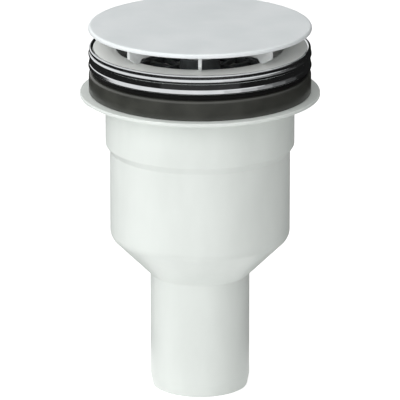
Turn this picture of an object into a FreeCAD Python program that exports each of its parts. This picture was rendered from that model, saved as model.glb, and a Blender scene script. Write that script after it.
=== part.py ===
"""Shower waste with an upright outlet, for a shower tray with a 90 mm hole.

Millimetres, +Z up. The origin is the centre of the outlet spigot's end, and every piece turns about Z.
Water runs in under the cover, over the flange ring, through the strainer and down the dip tube. It fills
the cup, spills over the cup's slots and runs down round the cup into the cone and out of the spigot.
"""
import FreeCAD
import Part
import math
import os

# Outlet spigot, for a 50 mm pipe socket
PIPE_OD = 50.0
PIPE_WALL = 1.8
SPIGOT_LENGTH = 59.3
LEAD_IN_LENGTH = 5.6
LEAD_IN_DEPTH = 1.1

# Body, one moulding
BODY_WALL = 2.6
CHAMBER_OD = 90.3
CHAMBER_LENGTH = 41.7
CONE_ANGLE = 45.0
CONE_ROUNDING = 6.0
STEP_HEIGHT = 3.0
NECK_LENGTH = 28.05
FLANGE_OD = 120.0
FLANGE_THICKNESS = 1.8
GUIDE_RIB_COUNT = 4
GUIDE_RIB_THICKNESS = 1.8
GUIDE_RIB_LENGTH = 32.0
GUIDE_RIB_PLAY = 1.0

# Tray hole and the threaded sleeve that goes through it
TRAY_HOLE_DIAMETER = 90.0
SLEEVE_PLAY = 0.6
SLEEVE_WALL = 2.8
SLEEVE_END_GAP = 4.0
THREAD_GAP = 0.3

# Seals between the body flange, the tray and the flange ring
LOWER_SEAL_OD = 111.0
LOWER_SEAL_HEIGHT = 10.3
LOWER_SEAL_ROUNDING = 1.4
UPPER_SEAL_OD = 107.6
UPPER_SEAL_LIP = 3.0
SEAL_SLEEVE_GAP = 0.8
SLIP_RING_THICKNESS = 1.3

# Plated flange ring
RING_OD = 111.4
RING_HEIGHT = 9.8
RING_WAIST_DEPTH = 0.5
RING_SKIRT_WALL = 2.0
FOOT_BEAD_HEIGHT = 2.1
MIDDLE_BEAD_HEIGHT = 3.2
CREST_RADIUS = 1.2
CREST_WIDTH = 2.55
CREST_HEIGHT = 1.5
LAND_DROP = 0.7
LAND_WIDTH = 5.2
DISH_DROP = 0.6
THROAT_ROUNDING = 2.2
COLLAR_DEPTH = 2.4
COLLAR_HEIGHT = 2.2
COLLAR_BELOW_RIM = 19.6

# Cover: cap on a finned carrier with a push-in stem
CAP_OD = 111.4
CAP_HEIGHT = 3.2
CAP_THICKNESS = 1.6
CAP_RIM_WALL = 1.8
CAP_ROUNDING = 1.2
INLET_GAP = 7.7
CARRIER_THICKNESS = 1.4
CARRIER_PLAY = 0.3
FIN_COUNT = 8
FIN_THICKNESS = 2.1
FIN_INNER_RADIUS = 20.0
FIN_SETBACK = 3.2
FIN_FOOT_GAP = 0.3
FIN_DISH_GAP = 1.5
FIN_THROAT_DEPTH = 7.0
FIN_THROAT_GAP = 1.6
STEM_RADIUS = 6.0
STEM_WALL = 1.8
STEM_SLOT_COUNT = 4
STEM_SLOT_WIDTH = 1.4
STEM_SLOT_LENGTH = 14.0
STEM_BEAD = 0.1
STEM_BEAD_LENGTH = 1.4
STEM_PLAY = 0.2
STEM_INSERTION = 11.0
STEM_HUB_RADIUS = 8.0
HUB_GAP = 0.5

# Trap insert: dip tube with its ring, strainer and cup
TUBE_BORE = 41.8
TUBE_WALL = 1.8
SEAT_PLAY = 0.3
SEAT_HEIGHT = 6.0
CORD_DIAMETER = 3.0
CORD_SIDE_COUNT = 8
CORD_PLAY = 0.1
GROOVE_PLAY = 0.2
SEAT_INNER_WALL = 2.0
FUNNEL_ANGLE = 40.0
LEDGE_WIDTH = 2.0
LEDGE_DEPTH = 3.9
ARM_COUNT = 3
FIRST_ARM_ANGLE = 90.0
ARM_THICKNESS = 2.0
ARM_LENGTH_BELOW_SLOT = 7.5
ARM_PLAY = 0.3
NUB_HEIGHT = 3.0
NUB_WIDTH = 4.0
NUB_PLAY = 0.3
CUP_OD = 66.0
CUP_WALL = 1.8
CUP_ROUNDING = 14.0
CUP_ROUNDING_COUNT = 5
CUP_BOTTOM_HEIGHT = 15.0
DIP_GAP = 12.2
SEAL_DEPTH = 50.0
CUP_RIM_ABOVE_SLOT = 6.0
BAYONET_ANGLE = 20.0
STRAINER_HEIGHT = 3.4
STRAINER_PLAY = 0.2
STRAINER_RIM = 1.6
STRAINER_BAR_WIDTH = 1.6
STRAINER_BAR_HEIGHT = 2.4
STRAINER_RING_RADIUS = 20.8
STRAINER_INNER_BAR_COUNT = 12
STRAINER_OUTER_BAR_COUNT = 24
SOCKET_WALL = 2.8
SOCKET_DEPTH = 13.5

# Radii that follow from the sizes above
pipe_r = PIPE_OD / 2
pipe_bore_r = pipe_r - PIPE_WALL
chamber_r = CHAMBER_OD / 2
chamber_bore_r = chamber_r - BODY_WALL
flange_r = FLANGE_OD / 2
sleeve_r = TRAY_HOLE_DIAMETER / 2 - SLEEVE_PLAY
throat_r = sleeve_r - SLEEVE_WALL
neck_bore_r = sleeve_r + THREAD_GAP
neck_r = neck_bore_r + BODY_WALL
seal_bore_r = sleeve_r + SEAL_SLEEVE_GAP
lower_seal_r = LOWER_SEAL_OD / 2
upper_seal_r = UPPER_SEAL_OD / 2
ring_r = RING_OD / 2
waist_r = ring_r - RING_WAIST_DEPTH
skirt_bore_r = waist_r - RING_SKIRT_WALL
crest_r = ring_r - CREST_RADIUS
land_outer_r = ring_r - CREST_WIDTH
land_inner_r = land_outer_r - LAND_WIDTH
dish_inner_r = throat_r + THROAT_ROUNDING
collar_r = throat_r - COLLAR_DEPTH
cap_r = CAP_OD / 2
carrier_r = cap_r - CAP_RIM_WALL - CARRIER_PLAY
fin_r = land_outer_r - FIN_SETBACK
tube_bore_r = TUBE_BORE / 2
tube_r = tube_bore_r + TUBE_WALL
seat_r = throat_r - SEAT_PLAY
cord_centre_r = throat_r - CORD_PLAY - CORD_DIAMETER / 2
groove_r = cord_centre_r - CORD_DIAMETER / 2 - CORD_PLAY
seat_bore_r = groove_r - SEAT_INNER_WALL
ledge_r = seat_bore_r - LEDGE_WIDTH
cup_r = CUP_OD / 2
cup_bore_r = cup_r - CUP_WALL
socket_bore_r = STEM_RADIUS + STEM_PLAY
socket_r = socket_bore_r + SOCKET_WALL

# Heights that follow from the sizes above
cone_slope = math.tan(math.radians(CONE_ANGLE))
funnel_slope = math.tan(math.radians(FUNNEL_ANGLE))
z_cone = SPIGOT_LENGTH
z_chamber = z_cone + (chamber_r - pipe_r) / cone_slope
z_step = z_chamber + CHAMBER_LENGTH
z_neck = z_step + STEP_HEIGHT
z_flange_under = z_neck + NECK_LENGTH
z_flange = z_flange_under + FLANGE_THICKNESS
z_seals = z_flange + LOWER_SEAL_HEIGHT
z_ring = z_seals + UPPER_SEAL_LIP
z_crest = z_ring + RING_HEIGHT
z_land = z_crest - LAND_DROP
z_dish = z_land - DISH_DROP
z_throat = z_dish - THROAT_ROUNDING
z_ceiling = z_throat
z_seat = z_crest - COLLAR_BELOW_RIM
z_sleeve_end = z_neck + SLEEVE_END_GAP
z_cap_under = z_crest + INLET_GAP
z_cap = z_cap_under + CAP_HEIGHT
z_plate = z_cap - CAP_THICKNESS
z_plate_under = z_plate - CARRIER_THICKNESS
z_seat_top = z_seat + SEAT_HEIGHT
z_ledge = z_seat_top - LEDGE_DEPTH
z_tube = z_ledge - (ledge_r - tube_bore_r) * funnel_slope
z_cup = z_cone + CUP_BOTTOM_HEIGHT
z_cup_floor = z_cup + CUP_WALL
z_tube_end = z_cup_floor + DIP_GAP
z_slot = z_tube_end + SEAL_DEPTH
z_cup_rim = z_slot + CUP_RIM_ABOVE_SLOT
z_strainer = z_ledge + STRAINER_HEIGHT
z_stem_end = z_seat_top - STEM_INSERTION

AXIS = FreeCAD.Vector(0, 0, 1)
ORIGIN = FreeCAD.Vector(0, 0, 0)


def at(r, z):
    """A point of a section, which lies in the XZ plane."""
    return FreeCAD.Vector(r, 0, z)


def section(points):
    """A flat face from the corners of a closed outline in the XZ plane. A corner given as a pair of points
    is the middle and the end of an arc."""
    edges = []
    last = at(*points[0])
    for point in points[1:] + points[:1]:
        if isinstance(point[0], tuple):
            end = at(*point[1])
            edges.append(Part.Arc(last, at(*point[0]), end).toShape())
        else:
            end = at(*point)
            edges.append(Part.makeLine(last, end))
        last = end
    return Part.Face(Part.Wire(edges))


def turned(points):
    """A ring-shaped solid: the section turned once round the axis."""
    return section(points).revolve(ORIGIN, AXIS, 360)


def bend(r, z, radius, start, end, steps):
    """Points along an arc about (r, z), from one angle to another, as a few straight flats."""
    turns = [math.radians(start + (end - start) * k / steps) for k in range(steps + 1)]
    return [(r + radius * math.cos(turn), z + radius * math.sin(turn)) for turn in turns]


def blade(points, thickness, angle):
    """A flat radial plate with the given section, centred on its plane and turned to its angle."""
    plate = section(points).extrude(FreeCAD.Vector(0, thickness, 0))
    plate.translate(FreeCAD.Vector(0, -thickness / 2, 0))
    plate.rotate(ORIGIN, AXIS, angle)
    return plate


def blades(points, thickness, count, first=0.0):
    """Equal radial plates, evenly spaced round the axis."""
    return [blade(points, thickness, first + 360.0 * k / count) for k in range(count)]


def bar(inner_r, outer_r, bottom, top):
    """The section of a rectangular radial bar."""
    return [(inner_r, bottom), (outer_r, bottom), (outer_r, top), (inner_r, top)]


def tube(inner_r, outer_r, bottom, top):
    """A plain ring with a rectangular section."""
    return turned(bar(inner_r, outer_r, bottom, top))


def rounded(shape, radius, r, z):
    """Rounds the circular edges of the given radius at the given height."""
    edges = [e for e in shape.Edges if is_circle_at(e, r, z)]
    return shape.makeFillet(radius, edges)


def chamfered(shape, size, r, z):
    """Bevels the circular edges of the given radius at the given height."""
    edges = [e for e in shape.Edges if is_circle_at(e, r, z)]
    return shape.makeChamfer(size, edges)


def is_circle_at(edge, r, z):
    """Whether an edge is the circle round the axis at this radius and height."""
    curve = edge.Curve
    if not isinstance(curve, Part.Circle):
        return False
    return abs(curve.Radius - r) < 1e-4 and abs(curve.Center.z - z) < 1e-4


def sector(inner_r, outer_r, bottom, top, start, sweep):
    """A part of a ring between two angles."""
    ring = section(bar(inner_r, outer_r, bottom, top)).revolve(ORIGIN, AXIS, sweep)
    ring.rotate(ORIGIN, AXIS, start)
    return ring


def one_solid(shape):
    """The single clean solid of a fused shape."""
    return shape.removeSplitter().Solids[0]


def waste_body():
    """Spigot, cone, chamber, threaded neck and flange, moulded as one piece with guide ribs for the cup."""
    wall_across = BODY_WALL / math.cos(math.radians(CONE_ANGLE))
    z_cone_in = z_cone + (pipe_bore_r + wall_across - pipe_r) / cone_slope
    z_chamber_in = z_cone + (chamber_bore_r + wall_across - pipe_r) / cone_slope
    shell = turned([
        (pipe_bore_r, 0),
        (pipe_r - LEAD_IN_DEPTH, 0),
        (pipe_r, LEAD_IN_LENGTH),
        (pipe_r, z_cone),
        (chamber_r, z_chamber),
        (chamber_r, z_step),
        (neck_r, z_neck),
        (neck_r, z_flange_under),
        (flange_r, z_flange_under),
        (flange_r, z_flange),
        (neck_bore_r, z_flange),
        (neck_bore_r, z_neck + BODY_WALL / 2),
        (chamber_bore_r, z_step + BODY_WALL / 2),
        (chamber_bore_r, z_chamber_in),
        (pipe_bore_r, z_cone_in),
    ])
    shell = rounded(shell, CONE_ROUNDING, chamber_r, z_chamber)
    shell = chamfered(shell, CONE_ROUNDING / 4, chamber_bore_r, z_chamber_in)
    shell = chamfered(shell, FLANGE_THICKNESS / 2, neck_r, z_flange_under)
    shell = chamfered(shell, FLANGE_THICKNESS / 4, flange_r, z_flange)
    rib_r = cup_r + GUIDE_RIB_PLAY
    buried_r = chamber_bore_r + BODY_WALL / 2
    z_rib = z_chamber_in + GUIDE_RIB_LENGTH
    z_cone_at_rib = z_cone + (rib_r + wall_across / 2 - pipe_r) / cone_slope
    z_buried = z_cone_at_rib + (buried_r - rib_r) / cone_slope
    rib = [
        (rib_r, z_cone_at_rib),
        (buried_r, z_buried),
        (buried_r, z_rib + buried_r - rib_r),
        (rib_r, z_rib),
    ]
    first = 180.0 / GUIDE_RIB_COUNT
    return one_solid(shell.fuse(blades(rib, GUIDE_RIB_THICKNESS, GUIDE_RIB_COUNT, first)))


def lower_seal():
    """Thick profile seal between the body flange and the underside of the tray."""
    groove = LOWER_SEAL_HEIGHT / 4
    middle = (z_flange + z_seals) / 2
    seal = turned([
        (seal_bore_r, z_flange),
        (lower_seal_r, z_flange),
        (lower_seal_r, z_seals),
        (seal_bore_r, z_seals),
        (seal_bore_r, middle + groove),
        (seal_bore_r + groove, middle),
        (seal_bore_r, middle - groove),
    ])
    seal = rounded(seal, LOWER_SEAL_ROUNDING, lower_seal_r, z_seals)
    return chamfered(seal, LOWER_SEAL_ROUNDING / 2, lower_seal_r, z_flange)


def upper_seal():
    """Seal between the flange ring and the tray: a neck inside the ring's skirt and a lip under its foot."""
    return turned([
        (seal_bore_r, z_seals),
        (upper_seal_r, z_seals),
        (upper_seal_r, z_ring),
        (skirt_bore_r - SEAL_SLEEVE_GAP / 2, z_ring),
        (skirt_bore_r - SEAL_SLEEVE_GAP / 2, z_ceiling - SLIP_RING_THICKNESS),
        (seal_bore_r, z_ceiling - SLIP_RING_THICKNESS),
    ])


def slip_ring():
    """Smooth ring that lets the flange ring turn on the upper seal while it is screwed down."""
    outer_r = skirt_bore_r - SEAL_SLEEVE_GAP
    return tube(seal_bore_r, outer_r, z_ceiling - SLIP_RING_THICKNESS, z_ceiling)


def flange_ring():
    """Plated flange ring: beaded rim, dished inlet, throat, seat for the trap and threaded sleeve."""
    z_groove = z_crest - CREST_HEIGHT
    z_waist = z_groove - MIDDLE_BEAD_HEIGHT
    bead_edge = RING_WAIST_DEPTH / 2
    eighth_turn = math.pi / 4
    crest_mid_r = crest_r + CREST_RADIUS * math.sin(eighth_turn)
    crest_mid_z = z_crest - CREST_RADIUS * (1 - math.cos(eighth_turn))
    sleeve_bevel = SLEEVE_WALL / 4
    return turned([
        (skirt_bore_r, z_ring),
        (ring_r - bead_edge, z_ring),
        (ring_r, z_ring + bead_edge),
        (ring_r, z_ring + FOOT_BEAD_HEIGHT / 2),
        (ring_r - bead_edge, z_ring + FOOT_BEAD_HEIGHT - bead_edge),
        (waist_r, z_ring + FOOT_BEAD_HEIGHT),
        (waist_r, z_waist),
        (ring_r, z_waist + MIDDLE_BEAD_HEIGHT / 3),
        (ring_r, z_groove - MIDDLE_BEAD_HEIGHT / 3),
        (waist_r, z_groove),
        (ring_r - bead_edge / 2, z_crest - CREST_RADIUS),
        ((crest_mid_r, crest_mid_z), (crest_r, z_crest)),
        (land_outer_r, z_land),
        (land_inner_r, z_land),
        (dish_inner_r, z_dish),
        (throat_r + THROAT_ROUNDING / 4, z_dish - THROAT_ROUNDING / 4),
        (throat_r, z_throat),
        (throat_r, z_seat),
        (collar_r, z_seat),
        (collar_r, z_seat - COLLAR_HEIGHT),
        (throat_r, z_seat - COLLAR_HEIGHT - COLLAR_DEPTH),
        (throat_r, z_sleeve_end),
        (sleeve_r - sleeve_bevel, z_sleeve_end),
        (sleeve_r, z_sleeve_end + sleeve_bevel),
        (sleeve_r, z_ceiling),
        (skirt_bore_r, z_ceiling),
    ])


def cover_cap():
    """Flat cap with a turned-down rim."""
    cap = turned([
        (0, z_plate),
        (cap_r - CAP_RIM_WALL, z_plate),
        (cap_r - CAP_RIM_WALL, z_cap_under),
        (cap_r, z_cap_under),
        (cap_r, z_cap),
        (0, z_cap),
    ])
    cap = rounded(cap, CAP_ROUNDING, cap_r, z_cap)
    return chamfered(cap, CAP_RIM_WALL / 3, cap_r, z_cap_under)


def cover_carrier():
    """Carrier under the cap: plate, radial fins that stand on the flange ring, and a split push-in stem."""
    plate = tube(0, carrier_r, z_plate_under, z_plate)
    buried = z_plate - CARRIER_THICKNESS / 2
    z_fin = z_throat - FIN_THROAT_DEPTH + THROAT_ROUNDING
    throat_edge_r = throat_r - FIN_THROAT_GAP
    fin = [
        (FIN_INNER_RADIUS, buried),
        (FIN_INNER_RADIUS, z_fin + FIN_DISH_GAP),
        (FIN_INNER_RADIUS + FIN_DISH_GAP, z_fin),
        (throat_edge_r - FIN_DISH_GAP, z_fin),
        (throat_edge_r, z_fin + FIN_DISH_GAP),
        (throat_edge_r, z_dish + FIN_DISH_GAP),
        (dish_inner_r, z_dish + FIN_DISH_GAP),
        (land_inner_r, z_land + FIN_DISH_GAP),
        (land_inner_r + FIN_FOOT_GAP, z_land),
        (fin_r, z_land),
        (fin_r, buried),
    ]
    stem_bore_r = STEM_RADIUS - STEM_WALL
    z_hub = z_seat_top + HUB_GAP
    stem = turned([
        (stem_bore_r, z_stem_end),
        (STEM_RADIUS - STEM_WALL / 2, z_stem_end),
        (STEM_RADIUS, z_stem_end + STEM_BEAD_LENGTH),
        (STEM_RADIUS + STEM_BEAD, z_stem_end + 2 * STEM_BEAD_LENGTH),
        (STEM_RADIUS, z_stem_end + 3 * STEM_BEAD_LENGTH),
        (STEM_RADIUS, z_hub),
        (STEM_HUB_RADIUS, z_hub),
        (STEM_HUB_RADIUS, buried),
        (stem_bore_r, buried),
    ])
    reach = 2 * STEM_RADIUS
    z_slot_top = z_stem_end + STEM_SLOT_LENGTH
    slot = bar(0, reach, z_stem_end - STEM_WALL, z_slot_top)
    slots = blades(slot, STEM_SLOT_WIDTH, STEM_SLOT_COUNT, 180.0 / FIN_COUNT)
    carrier = plate.fuse(blades(fin, FIN_THICKNESS, FIN_COUNT) + [stem.cut(slots)])
    return one_solid(carrier)


def dip_tube():
    """Seat with a ring groove, funnel and tube, with arms whose nubs carry the cup."""
    z_under = z_tube + TUBE_WALL * (funnel_slope - 1 / math.cos(math.radians(FUNNEL_ANGLE)))
    seat_under_r = tube_r + (z_seat - z_under) / funnel_slope
    groove_height = CORD_DIAMETER + 2 * GROOVE_PLAY
    groove_bottom = z_seat + (SEAT_HEIGHT - groove_height) / 2
    shell = turned([
        (tube_bore_r, z_tube_end),
        (tube_r, z_tube_end),
        (tube_r, z_under),
        (seat_under_r, z_seat),
        (seat_r, z_seat),
        (seat_r, groove_bottom),
        (groove_r, groove_bottom),
        (groove_r, groove_bottom + groove_height),
        (seat_r, groove_bottom + groove_height),
        (seat_r, z_seat_top),
        (seat_bore_r, z_seat_top),
        (seat_bore_r, z_ledge),
        (ledge_r, z_ledge),
        (tube_bore_r, z_tube),
    ])
    arm_r = cup_bore_r - ARM_PLAY
    buried_r = tube_r - TUBE_WALL / 2
    z_arm = z_slot - ARM_LENGTH_BELOW_SLOT
    chamfer = ARM_THICKNESS
    funnel_cover = TUBE_WALL / 2
    arm = [
        (buried_r, z_arm),
        (arm_r - chamfer, z_arm),
        (arm_r, z_arm + chamfer),
        (arm_r, z_under + (arm_r - tube_r) * funnel_slope + funnel_cover),
        (buried_r, z_under + funnel_cover),
    ]
    nub = bar(arm_r - ARM_THICKNESS / 2, cup_r - ARM_PLAY, z_slot + NUB_PLAY, z_slot + NUB_PLAY + NUB_HEIGHT)
    arms = blades(arm, ARM_THICKNESS, ARM_COUNT, FIRST_ARM_ANGLE)
    nubs = blades(nub, NUB_WIDTH, ARM_COUNT, FIRST_ARM_ANGLE)
    return one_solid(shell.fuse(arms + nubs))


def dip_tube_ring():
    """Rubber ring in the seat's groove, its round section taken as a few flats."""
    height = z_seat + SEAT_HEIGHT / 2
    last = 360.0 - 360.0 / CORD_SIDE_COUNT
    return turned(bend(cord_centre_r, height, CORD_DIAMETER / 2, 0, last, CORD_SIDE_COUNT - 1))


def trap_cup():
    """Cup that holds the water, with bayonet slots that hang on the dip tube's nubs."""
    turn_r = cup_r - CUP_ROUNDING
    z_turn = z_cup + CUP_ROUNDING
    outside = bend(turn_r, z_turn, CUP_ROUNDING, -90, 0, CUP_ROUNDING_COUNT)
    inside = bend(turn_r, z_turn, CUP_ROUNDING - CUP_WALL, 0, -90, CUP_ROUNDING_COUNT)
    rim = [(cup_r, z_cup_rim), (cup_bore_r, z_cup_rim)]
    cup = turned([(0, z_cup)] + outside + rim + inside + [(0, z_cup_floor)])
    half = math.degrees((NUB_WIDTH / 2 + NUB_PLAY) / cup_bore_r)
    slot_top = z_slot + NUB_HEIGHT + 2 * NUB_PLAY
    inner_r = cup_bore_r - CUP_WALL / 2
    outer_r = cup_r + CUP_WALL / 2
    cuts = []
    for k in range(ARM_COUNT):
        angle = FIRST_ARM_ANGLE + 360.0 * k / ARM_COUNT
        cuts.append(sector(inner_r, outer_r, z_slot, slot_top, angle - half, BAYONET_ANGLE + 2 * half))
        entry = angle + BAYONET_ANGLE - half
        cuts.append(sector(inner_r, outer_r, z_slot, z_cup_rim + CUP_WALL, entry, 2 * half))
    return one_solid(cup.cut(cuts))


def strainer():
    """Grate in the dip tube's mouth, with a socket for the cover's stem."""
    rim_r = seat_bore_r - STRAINER_PLAY
    bars_top = z_strainer - (STRAINER_HEIGHT - STRAINER_BAR_HEIGHT) / 2
    bars_bottom = bars_top - STRAINER_BAR_HEIGHT
    half_ring = STRAINER_BAR_WIDTH / 2
    rim = tube(rim_r - STRAINER_RIM, rim_r, z_ledge, z_strainer)
    middle = tube(STRAINER_RING_RADIUS - half_ring, STRAINER_RING_RADIUS + half_ring, bars_bottom, bars_top)
    socket = tube(socket_bore_r, socket_r, z_seat_top - SOCKET_DEPTH, z_seat_top)
    inner = bar(socket_r - SOCKET_WALL / 2, STRAINER_RING_RADIUS, bars_bottom, bars_top)
    outer = bar(STRAINER_RING_RADIUS, rim_r - STRAINER_RIM / 2, bars_bottom, bars_top)
    bars = blades(inner, STRAINER_BAR_WIDTH, STRAINER_INNER_BAR_COUNT)
    bars += blades(outer, STRAINER_BAR_WIDTH, STRAINER_OUTER_BAR_COUNT)
    return one_solid(rim.fuse([middle, socket] + bars))


NODES = {
    "cover_cap": cover_cap,
    "cover_carrier": cover_carrier,
    "flange_ring": flange_ring,
    "slip_ring": slip_ring,
    "upper_seal": upper_seal,
    "lower_seal": lower_seal,
    "waste_body": waste_body,
    "strainer": strainer,
    "dip_tube": dip_tube,
    "dip_tube_ring": dip_tube_ring,
    "trap_cup": trap_cup,
}

os.makedirs("parts", exist_ok=True)
for node, make in NODES.items():
    make().exportStep("parts/" + node + ".step")
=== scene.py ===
"""Shower waste on its outlet spigot: the looks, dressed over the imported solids.

Sizes are in millimetres until a mesh is filled in, which turns them to metres. Every piece is a surface that
numpy works out as whole arrays: a rounded outline carried round the axis, or a rounded radial plate.
"""
import bpy
import bmesh
import math
import numpy as np
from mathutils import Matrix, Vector


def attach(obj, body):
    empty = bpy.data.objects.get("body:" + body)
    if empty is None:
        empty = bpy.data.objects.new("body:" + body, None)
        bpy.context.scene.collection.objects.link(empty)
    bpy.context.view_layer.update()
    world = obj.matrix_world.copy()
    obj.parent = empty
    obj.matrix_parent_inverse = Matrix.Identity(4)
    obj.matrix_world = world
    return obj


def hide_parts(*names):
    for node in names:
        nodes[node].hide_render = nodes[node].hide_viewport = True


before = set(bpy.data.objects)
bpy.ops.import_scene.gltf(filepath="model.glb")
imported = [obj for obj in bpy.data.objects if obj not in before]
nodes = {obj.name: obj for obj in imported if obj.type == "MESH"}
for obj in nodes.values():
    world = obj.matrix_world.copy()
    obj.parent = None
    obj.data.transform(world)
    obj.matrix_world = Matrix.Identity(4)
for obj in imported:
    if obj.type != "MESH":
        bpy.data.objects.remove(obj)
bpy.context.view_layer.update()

MM = 0.001
ROUND_STEPS = 320  # Facets round a whole turn
EDGE_LEAD = 0.3    # How far along a straight side its extra points stand, in mm


# Shapes

def rounded_outline(corners, closed=True, steps=5):
    """Points of an outline whose corners are rounded. corners is rows of r, z and rounding radius. Each corner
    becomes the arc that touches both of its sides, read off by turning evenly from one touching point to the
    other, and each straight side gets a point near both ends, so that shading stays flat along it."""
    table = np.array(corners, float)
    here, radius = table[:, :2], table[:, 2]
    before, after = np.roll(here, 1, 0), np.roll(here, -1, 0)
    back, ahead = before - here, after - here
    back_length = np.linalg.norm(back, axis=1)
    ahead_length = np.linalg.norm(ahead, axis=1)
    back = back / back_length[:, None]
    ahead = ahead / ahead_length[:, None]
    half = np.arccos(np.clip((back * ahead).sum(1), -1, 1)) / 2
    reach = radius / np.tan(half)
    if not closed:
        reach[[0, -1]] = 0
    room = np.minimum(1, 0.98 * ahead_length / np.maximum(reach + np.roll(reach, -1), 1e-9))
    reach = reach * np.minimum(room, np.roll(room, 1))
    radius = reach * np.tan(half)
    middle = back + ahead
    middle = middle / np.maximum(np.linalg.norm(middle, axis=1), 1e-9)[:, None]
    centre = here + middle * (radius / np.sin(half))[:, None]
    start = here + back * reach[:, None] - centre
    end = here + ahead * reach[:, None] - centre
    sweep = np.pi - 2 * half
    share = np.linspace(0, 1, steps + 1)[None, :, None]
    turn = sweep[:, None, None]
    sine = np.maximum(np.sin(turn), 1e-9)
    arc = (np.sin((1 - share) * turn) * start[:, None] + np.sin(share * turn) * end[:, None]) / sine
    arc = centre[:, None] + arc
    gap = np.roll(arc[:, 0], -1, 0) - arc[:, -1]
    length = np.maximum(np.linalg.norm(gap, axis=1), 1e-9)
    lead = (np.minimum(EDGE_LEAD, EDGE_LEAD * length) / length)[:, None]
    after_arc = (arc[:, -1] + gap * lead)[:, None]
    before_next = (arc[:, -1] + gap * (1 - lead))[:, None]
    points = np.concatenate([arc, after_arc, before_next], 1).reshape(-1, 2)
    if not closed:
        points = points[steps:-2 - steps]
    step = np.linalg.norm(points - np.roll(points, 1, 0), axis=1)
    keep = step > 1e-5
    keep[0] = True
    return points[keep]


def turned(corners, closed=True, steps=5, around=ROUND_STEPS, start=0.0, sweep=360.0):
    """A round surface: each outline point at radius r and height z goes to r times cosine and sine of an even
    turn. A sweep under 360 degrees gets both of its ends closed. Gives the points and the faces of the grid."""
    outline = rounded_outline(corners, closed, steps)
    whole = sweep == 360.0
    columns = around if whole else max(2, int(around * sweep / 360)) + 1
    turn = np.radians(np.linspace(start, start + sweep, columns, endpoint=not whole))
    r, z = outline[:, :1], outline[:, 1:]
    points = np.stack([r * np.cos(turn), r * np.sin(turn), z + 0 * turn], -1).reshape(-1, 3)
    rows = len(outline)
    i = np.arange(rows if closed else rows - 1)[:, None]
    j = np.arange(columns if whole else columns - 1)[None, :]
    i_next, j_next = (i + 1) % rows, (j + 1) % columns
    low, high = i * columns, i_next * columns
    quads = np.stack([low + j, low + j_next, high + j_next, high + j], -1)
    faces = [quads.reshape(-1, 4)]
    if not whole:
        ends = np.arange(rows) * columns
        faces.append(np.stack([ends[::-1], ends + columns - 1]))
    return points, faces


def plate(corners, thickness, edge, angle, steps=3):
    """A flat radial plate with rounded rims: the outline stands inside its own edge by 1 minus the sine of a
    half turn and moves across the thickness with the cosine, then both flat sides are closed. The plate is
    turned about the axis to its angle in degrees."""
    outline = rounded_outline(corners, True, 4)
    along = np.roll(outline, -1, 0) - np.roll(outline, 1, 0)
    along /= np.linalg.norm(along, axis=1)[:, None]
    inward = np.stack([-along[:, 1], along[:, 0]], 1)
    area = 0.5 * np.sum(outline[:, 0] * np.roll(outline[:, 1], -1) - np.roll(outline[:, 0], -1) * outline[:, 1])
    inward *= np.sign(area)
    quarter = np.linspace(0, np.pi / 2, steps + 1)
    inset = np.concatenate([edge * (1 - np.sin(quarter)), edge * (1 - np.sin(quarter[::-1]))])
    across = thickness / 2 - edge * (1 - np.cos(quarter))
    across = np.concatenate([-across, across[::-1]])
    flat = outline[None] + inward[None] * inset[:, None, None]
    r, z = flat[..., 0], flat[..., 1]
    y = across[:, None] + 0 * r
    a = math.radians(angle)
    points = np.stack([r * math.cos(a) - y * math.sin(a), r * math.sin(a) + y * math.cos(a), z], -1)
    rows, count = r.shape
    i = np.arange(rows - 1)[:, None]
    j = np.arange(count)[None, :]
    j_next = (j + 1) % count
    quads = np.stack([i * count + j, i * count + j_next, (i + 1) * count + j_next, (i + 1) * count + j], -1)
    sides = np.stack([np.arange(count), (rows - 1) * count + np.arange(count)[::-1]])
    return points.reshape(-1, 3), [quads.reshape(-1, 4), sides]


def piece(name, parts, material, body, stands_for):
    """Fills one mesh from several surfaces, closes its poles, points its faces outwards and shades it smooth.
    The piece rides on its body and stands in for its CAD node."""
    points, faces, first = [], [], 0
    for part_points, groups in parts:
        points.append(part_points)
        for group in groups:
            faces.extend((group + first).tolist())
        first += len(part_points)
    mesh = bpy.data.meshes.new(name)
    mesh.from_pydata(np.concatenate(points) * MM, [], faces)
    shell = bmesh.new()
    shell.from_mesh(mesh)
    bmesh.ops.remove_doubles(shell, verts=shell.verts, dist=1e-7)
    bmesh.ops.recalc_face_normals(shell, faces=shell.faces)
    shell.to_mesh(mesh)
    shell.free()
    mesh.shade_smooth()
    mesh.materials.append(material)
    thing = bpy.data.objects.new(name, mesh)
    bpy.context.scene.collection.objects.link(thing)
    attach(thing, body)
    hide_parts(stands_for)
    return thing


# Materials

def hex_colour(text):
    """A linear colour from an sRGB hex value."""
    value = np.array([int(text[k:k + 2], 16) for k in (1, 3, 5)]) / 255
    line = np.where(value <= 0.04045, value / 12.92, ((value + 0.055) / 1.055) ** 2.4)
    return (*line.tolist(), 1.0)


def add(material, kind, settings=(), links=()):
    """Adds a node, sets its values by name, and links its inputs: rows of input name, node and output name."""
    node = material.node_tree.nodes.new(kind)
    for name, value in dict(settings).items():
        if name in node.inputs:
            node.inputs[name].default_value = value
        else:
            setattr(node, name, value)
    for name, source, output in links:
        material.node_tree.links.new(source.outputs[output], node.inputs[name])
    return node


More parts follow.
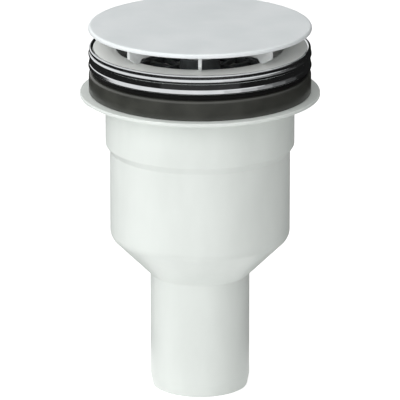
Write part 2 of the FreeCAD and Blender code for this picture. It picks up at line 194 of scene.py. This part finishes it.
def finish_named(name, deep, light, shader, mottle_mm, grain_mm, grain_height, rough, stretch=(1, 1, 1)):
    """A moulded or plated finish: a slow mottle between two close shades, a little roughness that follows it,
    and a fine grain in the surface. mottle_mm and grain_mm are the real sizes of both patterns."""
    material = bpy.data.materials.new(name)
    material.use_nodes = True
    material.node_tree.nodes.clear()
    place = add(material, "ShaderNodeTexCoord")
    spread = add(material, "ShaderNodeMapping", {"Scale": stretch}, [("Vector", place, "Object")])
    mottle = add(material, "ShaderNodeTexNoise", {"Scale": 1000 / mottle_mm, "Detail": 3.0, "Roughness": 0.55},
                 [("Vector", spread, "Vector")])
    grain = add(material, "ShaderNodeTexNoise", {"Scale": 1000 / grain_mm, "Detail": 2.0, "Roughness": 0.5},
                [("Vector", place, "Object")])
    shade = add(material, "ShaderNodeValToRGB", (), [("Fac", mottle, "Fac")])
    shade.color_ramp.elements[0].position = 0.35
    shade.color_ramp.elements[0].color = hex_colour(deep)
    shade.color_ramp.elements[1].position = 0.65
    shade.color_ramp.elements[1].color = hex_colour(light)
    dull = add(material, "ShaderNodeMapRange",
               {"From Min": 0.3, "From Max": 0.7, "To Min": rough[0], "To Max": rough[1]},
               [("Value", mottle, "Fac")])
    relief = add(material, "ShaderNodeBump", {"Strength": 1.0, "Distance": grain_height * MM},
                 [("Height", grain, "Fac")])
    surface = add(material, "ShaderNodeBsdfPrincipled", shader,
                  [("Base Color", shade, "Color"), ("Roughness", dull, "Result"), ("Normal", relief, "Normal")])
    add(material, "ShaderNodeOutputMaterial", (), [("Surface", surface, "BSDF")])
    return material


def bare_inside(material, radius_mm, colour, roughness):
    """Masks the plating off the ring's inside: nearer the axis than the radius, the colour turns to bare
    plastic, the metal share to none and the roughness to satin."""
    tree = material.node_tree
    surface = next(node for node in tree.nodes if node.type == "BSDF_PRINCIPLED")
    place = next(node for node in tree.nodes if node.type == "TEX_COORD")
    parts = add(material, "ShaderNodeSeparateXYZ", (), [("Vector", place, "Object")])
    flat = add(material, "ShaderNodeCombineXYZ", (), [("X", parts, "X"), ("Y", parts, "Y")])
    radius = add(material, "ShaderNodeVectorMath", {"operation": "LENGTH"})
    tree.links.new(flat.outputs[0], radius.inputs[0])
    inside = add(material, "ShaderNodeMapRange",
                 {"From Min": (radius_mm + 0.1) * MM, "From Max": (radius_mm - 0.1) * MM},
                 [("Value", radius, "Value")])
    plated = tree.nodes["Color Ramp"]
    bare = add(material, "ShaderNodeMix", {"data_type": "RGBA"})
    tree.links.new(inside.outputs[0], bare.inputs[0])
    tree.links.new(plated.outputs["Color"], bare.inputs[6])
    bare.inputs[7].default_value = hex_colour(colour)
    tree.links.new(bare.outputs[2], surface.inputs["Base Color"])
    metal = add(material, "ShaderNodeMapRange", {"To Min": 1.0, "To Max": 0.0}, [("Value", inside, "Result")])
    tree.links.new(metal.outputs[0], surface.inputs["Metallic"])
    dull = tree.nodes["Map Range"]
    satin = add(material, "ShaderNodeMix", {"data_type": "FLOAT"})
    tree.links.new(inside.outputs[0], satin.inputs[0])
    tree.links.new(dull.outputs[0], satin.inputs[2])
    satin.inputs[3].default_value = roughness
    tree.links.new(satin.outputs[0], surface.inputs["Roughness"])


# Chrome plate on moulded ABS: a mirror with a faint long ripple from the plastic under it. The plating stops at
# the foot of the crest: inside it the ring is bare white ABS with a satin face, which scatters the light.
chrome_plate = finish_named("chrome_plate_on_abs", "#d3d6d8", "#dddfe1", {"Metallic": 1.0}, 14.0, 3.0, 0.002,
                            (0.07, 0.11))
bare_inside(chrome_plate, 53.3, "#f6f7f4", 0.42)
# ABS moulded against a polished tool: bright white, slightly cold, with a soft gloss and a faint orange peel.
polished_abs = finish_named("white_abs_polished", "#e0e5e6", "#e5e9ea", {"IOR": 1.53}, 18.0, 0.9, 0.004,
                            (0.30, 0.36))
# ABS from a satin tool: the carrier and its fins are duller than the cap.
satin_abs = finish_named("white_abs_satin", "#dfe2e2", "#e6e8e8", {"IOR": 1.53}, 12.0, 0.6, 0.006,
                         (0.42, 0.50))
# Polypropylene body moulding: milky and a touch green-grey, with slow flow marks along the moulding.
body_pp = finish_named("white_polypropylene_moulded", "#dde2de", "#e3e8e4", {"IOR": 1.49}, 22.0, 0.7, 0.006,
                       (0.38, 0.46), (1, 1, 0.35))
# Carbon-black EPDM: dull and grey at a glance, from the fine skin that moulding leaves.
epdm = finish_named("black_epdm_moulded", "#31322e", "#393a35", {"IOR": 1.7}, 9.0, 0.5, 0.008,
                    (0.32, 0.40))
# EPDM of the lip under the ring, coloured almost black as painted shade for the recess under the ring, and rough
# so that it catches little light.
epdm_lip_painted_shade = finish_named("black_epdm_lip_painted_shade", "#060606", "#0b0b0a", {"IOR": 1.4}, 9.0, 0.5, 0.012,
                        (0.65, 0.75))
# Grey polypropylene strainer, satin, its grey made darker as painted shade, so that the slit under the cover
# looks dark.
grey_pp_painted_shade = finish_named("grey_polypropylene_painted_shade", "#6c7072", "#76797b", {"IOR": 1.49}, 10.0, 0.5, 0.006,
                       (0.40, 0.48))
# Natural polypropylene trap: pale and waxy.
natural_pp = finish_named("natural_polypropylene_moulded", "#d6d9d6", "#dcdedb", {"IOR": 1.49}, 12.0, 0.6,
                          0.005, (0.36, 0.44))
# Acetal slip ring: very smooth and ivory.
acetal = finish_named("ivory_acetal_moulded", "#dcdad1", "#e2e0d8", {"IOR": 1.48}, 9.0, 0.6, 0.003,
                      (0.26, 0.32))

for name, material in {
    "cover_cap": polished_abs, "cover_carrier": satin_abs, "flange_ring": chrome_plate, "slip_ring": acetal,
    "upper_seal": epdm_lip_painted_shade, "lower_seal": epdm, "waste_body": body_pp, "strainer": grey_pp_painted_shade,
    "dip_tube": natural_pp, "dip_tube_ring": epdm, "trap_cup": natural_pp,
}.items():
    nodes[name].data.materials.clear()
    nodes[name].data.materials.append(material)


# Every outline is rows of radius, height and rounding radius, in mm
# Cover: the cap, and the carrier with the split stem and eight ribs that end in slanted feet on the ring's shelf

piece("cap_moulding", [turned([
    (0, 186.4, 0), (53.9, 186.4, 0.2), (53.9, 185.9, 0.2), (55.7, 185.9, 0.4), (55.7, 188.0, 1.2),
    (0, 188.0, 0),
], closed=False)], polished_abs, "cover", "cover_cap")

FIN = [
    (7.0, 185.7, 0), (7.0, 178.5, 0), (41.0, 178.5, 1.0), (42.7, 176.6, 0.2), (44.6, 176.6, 0.4),
    (49.95, 180.0, 0.6), (49.95, 185.9, 0),
]
carrier = [turned([(0, 185.5, 0), (53.6, 185.5, 0.4), (53.6, 186.4, 0.4), (0, 186.4, 0)], closed=False)]
carrier += [plate(FIN, 1.8, 0.35, 45.0 * k) for k in range(8)]
carrier += [turned([(4.2, 166.5, 0), (8.0, 166.5, 0), (8.0, 185.7, 0.3), (4.2, 185.7, 0.3)], around=96)]
carrier += [turned([
    (4.2, 152.5, 0.2), (5.1, 152.5, 0.4), (6.1, 155.3, 0.8), (6.0, 158.0, 0.5), (6.0, 164.0, 0.3),
    (8.0, 164.0, 0.4), (8.0, 166.5, 0), (4.2, 166.5, 0),
], around=96, start=22.5 + 7.7 + 90.0 * k, sweep=74.6) for k in range(4)]
piece("carrier_moulding", carrier, satin_abs, "cover", "cover_carrier")

# Flange ring: the flared foot, a straight waist, a rounded bead, a thin groove under the crest, the flat shelf,
# the throat, the collar that carries the trap, and the sleeve

piece("ring_plating", [turned([
    (53.2, 167.3, 0.2), (55.7, 167.3, 0.3), (55.66, 167.9, 0.2), (55.36, 169.3, 0.3), (55.1, 169.7, 0.1),
    (55.1, 172.4, 0.1), (56.39, 173.65, 1.81), (55.1, 174.9, 0.05), (54.9, 174.95, 0.05), (54.9, 175.7, 0.05),
    (55.3, 175.75, 0.1), (55.3, 177.1, 0.65), (54.0, 177.1, 0.65), (53.5, 176.6, 0.1), (41.6, 176.6, 0.7),
    (41.6, 157.5, 0.2), (39.2, 157.5, 0.3), (39.2, 155.3, 0.3), (41.6, 152.9, 0.3), (41.6, 131.5, 0.3),
    (44.4, 131.5, 0.6), (44.4, 173.6, 0.2), (53.2, 173.6, 0.2),
])], chrome_plate, "waste", "flange_ring")
piece("slip_ring_moulding", [turned([
    (45.2, 172.3, 0.2), (52.4, 172.3, 0.2), (52.4, 173.6, 0.2), (45.2, 173.6, 0.2),
])], acetal, "waste", "slip_ring")

# Seals

piece("lower_seal_moulding", [turned([
    (45.2, 154.0, 0.3), (55.5, 154.0, 0.7), (55.5, 164.3, 1.4), (45.2, 164.3, 0.3), (45.2, 161.725, 0.2),
    (47.775, 159.15, 0.4), (45.2, 156.575, 0.2),
])], epdm, "waste", "lower_seal")
# The lip takes the near-black EPDM that paints the shade of the recess under the ring.
piece("upper_seal_moulding", [turned([
    (45.2, 164.3, 0.3), (53.8, 164.3, 0.3), (53.8, 167.3, 0.3), (52.8, 167.3, 0.2), (52.8, 172.3, 0.3),
    (45.2, 172.3, 0.3),
])], epdm_lip_painted_shade, "waste", "upper_seal")

# Body with the ribs that keep the cup in the middle

RIB = [(34.0, 70.14, 0.5), (43.85, 79.99, 0), (43.85, 122.38, 0), (34.0, 112.53, 0.8)]
body = [turned([
    (23.2, 0, 0.3), (23.9, 0, 0.3), (25.0, 5.6, 2.0), (25.0, 59.3, 0.8), (45.15, 79.45, 6.0),
    (45.15, 123.7, 0.5), (47.3, 127.1, 0.5), (47.3, 152.2, 0.9), (60.0, 152.2, 0.5), (60.0, 154.0, 0.45),
    (44.7, 154.0, 0.4), (44.7, 128.5, 0.5), (42.55, 125.2, 0.5), (42.55, 80.53, 1.5), (23.2, 61.18, 0.8),
])]
body += [plate(RIB, 1.8, 0.4, 45.0 + 90.0 * k) for k in range(4)]
piece("body_moulding", body, body_pp, "waste", "waste_body")

# Trap insert: strainer with the socket for the cover's stem, dip tube with its arms and nubs, rubber ring, and
# the cup with its bayonet slots

# The strainer takes the darkened grey that paints the shade in the slit under the cover.
strainer = [
    turned([(34.6, 159.6, 0.3), (36.2, 159.6, 0.3), (36.2, 163.0, 0.5), (34.6, 163.0, 0.5)]),
    turned([(20.0, 160.1, 0.3), (21.6, 160.1, 0.3), (21.6, 162.5, 0.4), (20.0, 162.5, 0.4)], around=192),
    turned([
        (6.2, 150.0, 0.3), (9.0, 150.0, 0.5), (9.0, 161.5, 1.0), (10.0, 162.7, 1.0), (10.0, 172.0, 0.6),
        (8.5, 172.0, 0.4), (8.5, 163.4, 0.2), (6.2, 163.4, 0.3),
    ], around=128),
]
INNER_BAR = [(7.6, 160.1, 0), (20.8, 160.1, 0), (20.8, 162.5, 0), (7.6, 162.5, 0)]
OUTER_BAR = [(20.8, 160.1, 0), (35.4, 160.1, 0), (35.4, 162.5, 0), (20.8, 162.5, 0)]
strainer += [plate(INNER_BAR, 1.6, 0.35, 30.0 * k) for k in range(12)]
strainer += [plate(OUTER_BAR, 1.6, 0.35, 15.0 * k) for k in range(24)]
piece("strainer_moulding", strainer, grey_pp_painted_shade, "trap", "strainer")

ARM = [(21.8, 130.8, 0), (30.9, 130.8, 2.0), (30.9, 155.2, 0.3), (21.8, 148.3, 0)]
NUB = [(29.9, 138.6, 0), (32.7, 138.6, 0.4), (32.7, 141.6, 0.4), (29.9, 141.6, 0)]
dip_tube = [turned([
    (20.9, 88.3, 0.5), (22.7, 88.3, 0.5), (22.7, 147.43, 2.5), (34.7, 157.5, 0.8), (41.3, 157.5, 0.5),
    (41.3, 158.8, 0.2), (38.4, 158.8, 0.3), (38.4, 162.2, 0.3), (41.3, 162.2, 0.2), (41.3, 163.5, 0.5),
    (36.4, 163.5, 0.4), (36.4, 159.6, 0.3), (34.4, 159.6, 0.4), (20.9, 148.27, 2.5),
])]
dip_tube += [plate(ARM, 2.0, 0.4, 90.0 + 120.0 * k) for k in range(3)]
dip_tube += [plate(NUB, 4.0, 0.4, 90.0 + 120.0 * k) for k in range(3)]
piece("dip_tube_moulding", dip_tube, natural_pp, "trap", "dip_tube")
piece("dip_tube_cord", [turned([
    (38.5, 159.0, 1.49), (41.5, 159.0, 1.49), (41.5, 162.0, 1.49), (38.5, 162.0, 1.49),
], steps=8)], epdm, "trap", "dip_tube_ring")

cup = [turned([
    (0, 74.3, 0), (33.0, 74.3, 14.0), (33.0, 138.3, 0), (31.2, 138.3, 0), (31.2, 76.1, 12.2), (0, 76.1, 0),
], closed=False, steps=14)]
WALL = [(31.2, 138.3, 0), (33.0, 138.3, 0), (33.0, 144.3, 0.5), (31.2, 144.3, 0.5)]
HOOK = [(31.2, 141.9, 0), (33.0, 141.9, 0), (33.0, 144.3, 0.5), (31.2, 144.3, 0.5)]
for k in range(3):
    nub_angle = 90.0 + 120.0 * k
    cup.append(turned(WALL, start=nub_angle + 24.2, sweep=91.6))
    cup.append(turned(HOOK, start=nub_angle - 4.2, sweep=20.0))
piece("trap_cup_moulding", cup, natural_pp, "trap", "trap_cup")


# Studio

def stage_card(name, corners, colour, strength, shown_to):
    """A flat card of the studio. It sends out its colour and only the named kinds of ray see it."""
    mesh = bpy.data.meshes.new(name)
    mesh.from_pydata(corners, [], [tuple(range(len(corners)))])
    material = bpy.data.materials.new(name)
    material.use_nodes = True
    material.node_tree.nodes.clear()
    glow = add(material, "ShaderNodeEmission", {"Color": hex_colour(colour), "Strength": strength})
    add(material, "ShaderNodeOutputMaterial", (), [("Surface", glow, "Emission")])
    mesh.materials.append(material)
    card = bpy.data.objects.new(name, mesh)
    bpy.context.scene.collection.objects.link(card)
    for kind in ("camera", "diffuse", "glossy", "transmission", "shadow"):
        setattr(card, "visible_" + kind, kind in shown_to)
    return card


def seen_by(material):
    """The sum of the three kinds of ray that see the backdrop: camera, mirror and glass rays."""
    paths = add(material, "ShaderNodeLightPath")
    total = add(material, "ShaderNodeMath", {"operation": "ADD"})
    last = add(material, "ShaderNodeMath", {"operation": "ADD", "use_clamp": True})
    link = material.node_tree.links.new
    link(paths.outputs["Is Camera Ray"], total.inputs[0])
    link(paths.outputs["Is Glossy Ray"], total.inputs[1])
    link(total.outputs[0], last.inputs[0])
    link(paths.outputs["Is Transmission Ray"], last.inputs[1])
    return last


def floor_material():
    """Pale matt floor. Camera, mirror and glass rays see it lifted towards white, and it keeps the shadow."""
    material = bpy.data.materials.new("studio_floor")
    material.use_nodes = True
    material.node_tree.nodes.clear()
    lift = add(material, "ShaderNodeMapRange", {"To Min": 0.25, "To Max": 0.75},
               [("Value", seen_by(material), "Value")])
    matt = add(material, "ShaderNodeBsdfDiffuse", {"Color": hex_colour("#dcdcdc")})
    glow = add(material, "ShaderNodeEmission", {"Color": (1, 1, 1, 1)}, [("Strength", lift, "Result")])
    both = add(material, "ShaderNodeAddShader")
    material.node_tree.links.new(matt.outputs[0], both.inputs[0])
    material.node_tree.links.new(glow.outputs[0], both.inputs[1])
    add(material, "ShaderNodeOutputMaterial", (), [("Surface", both, "Shader")])
    return material


# The floor lies a fifth of a millimetre under the spigot's end
FAR = 60
FLOOR_LEVEL = -0.0002
floor_mesh = bpy.data.meshes.new("studio_floor")
floor_mesh.from_pydata([(x, y, FLOOR_LEVEL) for x, y in ((-FAR, -FAR), (FAR, -FAR), (FAR, FAR), (-FAR, FAR))],
                       [], [(0, 1, 2, 3)])
floor_mesh.materials.append(floor_material())
floor = bpy.data.objects.new("studio_floor", floor_mesh)
bpy.context.scene.collection.objects.link(floor)


def softbox(name, azimuth, elevation, distance, size, power):
    """A square area lamp aimed at the middle of the waste. Azimuth 0 is the camera's side."""
    lamp = bpy.data.lights.new(name, "AREA")
    lamp.shape = "SQUARE"
    lamp.size = size
    lamp.energy = power
    a, e = math.radians(azimuth), math.radians(elevation)
    away = Vector((math.sin(a) * math.cos(e), -math.cos(a) * math.cos(e), math.sin(e)))
    box = bpy.data.objects.new(name, lamp)
    box.location = Vector((0, 0, 0.1)) + away * distance
    box.rotation_euler = (-away).to_track_quat("-Z", "Y").to_euler()
    box.visible_camera = False
    box.visible_glossy = False
    bpy.context.scene.collection.objects.link(box)
    return box


# The key stands in front on the left, and the fill, from high on the right, keeps that side from going grey.
# The low one lifts the shade under the flange, and the rim lamp the left edge of the flange and the body.
softbox("key_softbox", -33, 25, 1.8, 1.6, 22.8)
softbox("fill_softbox", 75, 40, 1.8, 1.6, 5.5)
softbox("top_softbox", 0, 88, 1.5, 1.2, 7.8)
softbox("low_softbox", -15, 6, 1.8, 0.8, 2.0)
softbox("left_rim_softbox", -105, 50, 1.6, 0.9, 7.5)


def fan(inner, outer, start, end, height):
    """Corners of a flat piece of a ring on the floor, between two azimuths in degrees. 0 is the camera's side
    and positive is the right."""
    turn = np.radians(np.linspace(start, end, 24))
    out_edge = np.stack([outer * np.sin(turn), -outer * np.cos(turn), height + 0 * turn], 1)
    in_edge = np.stack([inner * np.sin(turn), -inner * np.cos(turn), height + 0 * turn], 1)[::-1]
    return np.concatenate([out_edge, in_edge]).tolist()


def wall(distance, start, end, bottom, top):
    """Corners of a flat standing card whose ends lie at two azimuths in degrees."""
    a, b = math.radians(start), math.radians(end)
    left = (distance * math.sin(a), -distance * math.cos(a))
    right = (distance * math.sin(b), -distance * math.cos(b))
    return [(*left, bottom), (*right, bottom), (*right, top), (*left, top)]


# Dark cloth over the floor, lighter in front: only glossy rays see it. The polished ring mirrors it below the
# level of its own horizon, so its waist and the undersides of its beads are dark, and more so at both sides.
stage_card("dark_cloth_right", fan(0.065, 6.0, 40, 180, 0.001), "#1c1c1c", 1.0, ("glossy",))
stage_card("dark_cloth_left", fan(0.065, 6.0, -180, -40, 0.001), "#242424", 1.0, ("glossy",))
stage_card("dark_cloth_front", fan(0.065, 6.0, -40, 40, 0.001), "#3c3c3c", 1.0, ("glossy",))

# Standing cards from the front round the right to the back, each darker than the last: the bright lines on the
# ring fade along its right side, as they do in the photograph.
RIGHT_SHADES = ["#e0e0e0", "#c4c4c4", "#a0a0a0", "#787878", "#505050", "#2c2c2c", "#202020", "#1c1c1c",
                "#1c1c1c"]
CARD_SPREAD = 18
FIRST_CARD = 24
for k, shade in enumerate(RIGHT_SHADES):
    start = FIRST_CARD + CARD_SPREAD * k
    stage_card("right_card_%d" % k, wall(3.0, start, start + CARD_SPREAD, 0.0, 2.4), shade, 1.0, ("glossy",))

world = bpy.data.worlds.new("studio")
bpy.context.scene.world = world
world.use_nodes = True
world.node_tree.nodes.clear()
soft = add(world, "ShaderNodeBackground", {"Color": (1, 1, 1, 1), "Strength": 0.10})
white = add(world, "ShaderNodeBackground", {"Color": (1, 1, 1, 1), "Strength": 1.0})
mix = add(world, "ShaderNodeMixShader", (), [("Fac", seen_by(world), "Value")])
world.node_tree.links.new(soft.outputs[0], mix.inputs[1])
world.node_tree.links.new(white.outputs[0], mix.inputs[2])
add(world, "ShaderNodeOutputWorld", (), [("Surface", mix, "Shader")])

# Camera: a long lens, a little above the cover, as the photograph was taken
lens = bpy.data.cameras.new("camera")
lens.sensor_width = 36.0
lens.lens = 480.0
camera = bpy.data.objects.new("camera", lens)
bpy.context.scene.collection.objects.link(camera)
DISTANCE = 2.68
ELEVATION = math.radians(17.3)
AIM = Vector((0, 0, 0.0966))
toward = Vector((0, -math.cos(ELEVATION), math.sin(ELEVATION)))
camera.location = AIM + toward * DISTANCE
camera.rotation_euler = (-toward).to_track_quat("-Z", "Y").to_euler()
lens.clip_end = 200.0
bpy.context.scene.camera = camera

bpy.context.scene.view_settings.view_transform = "Standard"
